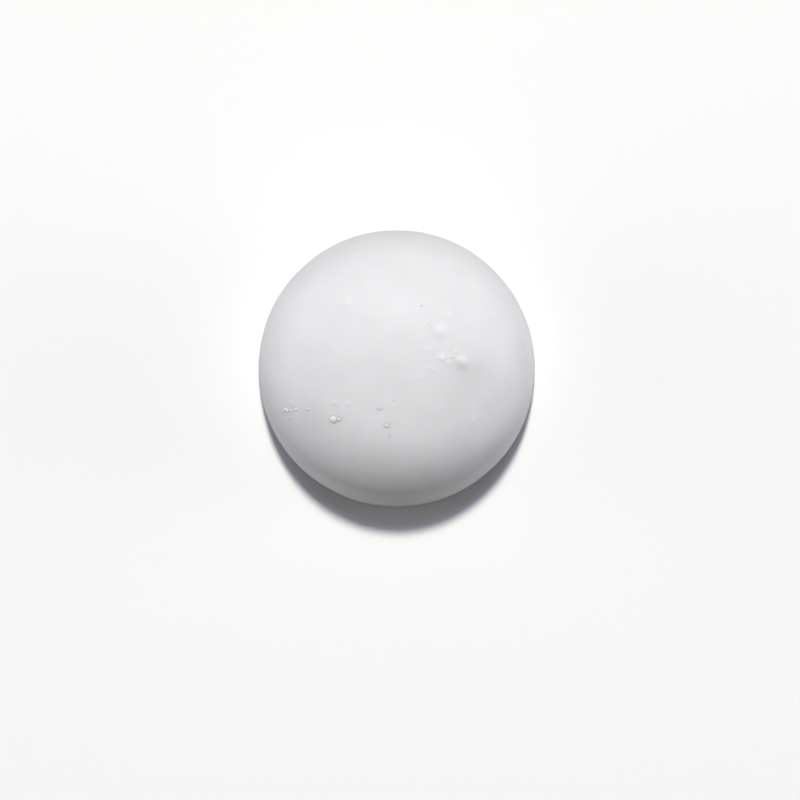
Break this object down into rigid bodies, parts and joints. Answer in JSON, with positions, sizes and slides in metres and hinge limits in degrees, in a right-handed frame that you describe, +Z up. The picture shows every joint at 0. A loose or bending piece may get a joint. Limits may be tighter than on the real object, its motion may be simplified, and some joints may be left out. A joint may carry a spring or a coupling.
{
  "type": "shaving soap puck",
  "caption": "Round cake of hard shaving soap with a domed face and a flat base, worked into lather with a wet brush in a mug or bowl.",
  "frame": {"origin": "centre of the flat base, where the puck stands", "axes": "+Z runs up through the crown of the dome and is the puck's axis of revolution; +X and +Y lie in the base"},
  "size_m": [0.065, 0.065, 0.0325],
  "materials": {
    "soap": "satin, slightly translucent hard soap"
  },
  "bodies": {
    "root": {"soap_puck": "soap", "bead_pair": "soap", "speck_trail": "soap", "stray_specks": "soap"}
  },
  "joints": []
}
